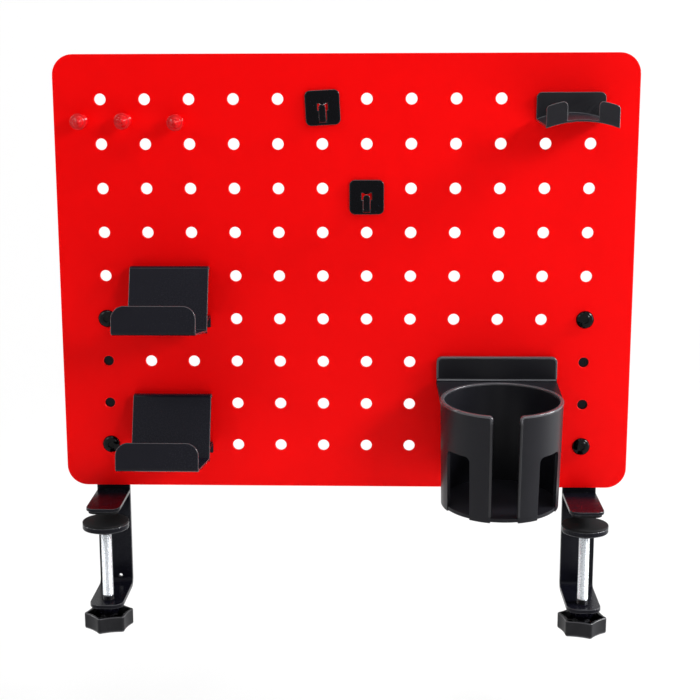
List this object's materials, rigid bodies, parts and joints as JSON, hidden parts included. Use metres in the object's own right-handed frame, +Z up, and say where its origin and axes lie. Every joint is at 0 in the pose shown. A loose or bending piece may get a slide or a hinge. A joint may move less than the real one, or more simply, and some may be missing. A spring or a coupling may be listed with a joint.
{
  "type": "clamp-on pegboard desk organizer",
  "caption": "Steel pegboard panel that clamps to a desk edge, with hung trays, cup holder, headphone hanger, small hooks and magnetic push pins.",
  "frame": {"origin": "midway between the two clamps, where the desk top under the jaw pads meets the front faces of the clamp legs", "axes": "+X along the panel to the user's right, +Y away from the user, +Z up"},
  "size_m": [0.42, 0.1011, 0.42],
  "materials": {
    "panel": "fine satin powder coat",
    "clamp_steel": "satin powder coat",
    "pad_rubber": "matt",
    "zinc_rod": "bright zinc plating",
    "knob_plastic": "fine moulded texture",
    "black_screws": "black oxide",
    "tray_steel": "satin powder coat",
    "hanger_steel": "satin powder coat",
    "cup_plastic": "satin moulded",
    "hook_steel": "gloss paint",
    "red_plastic": "polished",
    "magnet": "nickel plating"
  },
  "bodies": {
    "frame": {"panel": "panel", "left_leg": "clamp_steel", "left_jaw": "clamp_steel", "left_jaw_pad": "pad_rubber", "left_boss": "clamp_steel", "left_panel_screws": "black_screws", "right_leg": "clamp_steel", "right_jaw": "clamp_steel", "right_jaw_pad": "pad_rubber", "right_boss": "clamp_steel", "right_panel_screws": "black_screws"},
    "left_disc": {"left_pressure_disc": "clamp_steel", "left_disc_cap": "pad_rubber"},
    "left_screw": {"left_clamp_rod": "zinc_rod", "left_knob": "knob_plastic"},
    "right_disc": {"right_pressure_disc": "clamp_steel", "right_disc_cap": "pad_rubber"},
    "right_screw": {"right_clamp_rod": "zinc_rod", "right_knob": "knob_plastic"},
    "upper_tray": {"upper_tray": "tray_steel", "upper_tray_foot": "tray_steel"},
    "lower_tray": {"lower_tray": "tray_steel", "lower_tray_foot": "tray_steel"},
    "hanger": {"headphone_hanger": "hanger_steel"},
    "cup": {"cup_holder": "cup_plastic"},
    "left_hook": {"left_square_hook": "hook_steel"},
    "right_hook": {"right_square_hook": "hook_steel"},
    "left_pin": {"left_pin": "red_plastic", "left_pin_magnet": "magnet"},
    "middle_pin": {"middle_pin": "red_plastic", "middle_pin_magnet": "magnet"},
    "right_pin": {"right_pin": "red_plastic", "right_pin_magnet": "magnet"}
  },
  "joints": [
    {"name": "left_disc_travel", "type": "slide", "parent": "frame", "child": "left_disc", "axis": [0, 0, 1], "range_m": [-0.0515, 0.0028]},
    {"name": "left_screw_turn", "type": "hinge", "parent": "left_disc", "child": "left_screw", "pos_m": [-0.176, -0.035, -0.05], "axis": [0, 0, 1], "range_deg": [-14840, 810]},
    {"name": "right_disc_travel", "type": "slide", "parent": "frame", "child": "right_disc", "axis": [0, 0, 1], "range_m": [-0.0515, 0.0028]},
    {"name": "right_screw_turn", "type": "hinge", "parent": "right_disc", "child": "right_screw", "pos_m": [0.176, -0.035, -0.05], "axis": [0, 0, 1], "range_deg": [-14840, 810]},
    {"name": "upper_tray_tilt", "type": "hinge", "parent": "frame", "child": "upper_tray", "pos_m": [-0.128, -0.0022, 0.1769], "axis": [-1, 0, 0], "range_deg": [0, 18]},
    {"name": "lower_tray_tilt", "type": "hinge", "parent": "frame", "child": "lower_tray", "pos_m": [-0.128, -0.0022, 0.0809], "axis": [-1, 0, 0], "range_deg": [0, 18]},
    {"name": "hanger_tilt", "type": "hinge", "parent": "frame", "child": "hanger", "pos_m": [0.1613, -0.00285, 0.30159], "axis": [-1, 0, 0], "range_deg": [0, 8]},
    {"name": "cup_tilt", "type": "hinge", "parent": "frame", "child": "cup", "pos_m": [0.112, -0.00334, 0.10917], "axis": [-1, 0, 0], "range_deg": [0, 10]},
    {"name": "left_hook_swing", "type": "hinge", "parent": "frame", "child": "left_hook", "pos_m": [-0.016, -0.002, 0.297], "axis": [0, 1, 0], "range_deg": [-30, 30]},
    {"name": "right_hook_swing", "type": "hinge", "parent": "frame", "child": "right_hook", "pos_m": [0.016, -0.002, 0.233], "axis": [0, 1, 0], "range_deg": [-30, 30]},
    {"name": "left_pin_pull", "type": "slide", "parent": "frame", "child": "left_pin", "axis": [0, -1, 0], "range_m": [0, 0.02]},
    {"name": "middle_pin_pull", "type": "slide", "parent": "frame", "child": "middle_pin", "axis": [0, -1, 0], "range_m": [0, 0.02]},
    {"name": "right_pin_pull", "type": "slide", "parent": "frame", "child": "right_pin", "axis": [0, -1, 0], "range_m": [0, 0.02]}
  ],
  "couplings": [
    {"joint": "left_screw_turn", "follows": "left_disc_travel", "rad_per_m": 5026.5},
    {"joint": "right_screw_turn", "follows": "right_disc_travel", "rad_per_m": 5026.5}
  ]
}
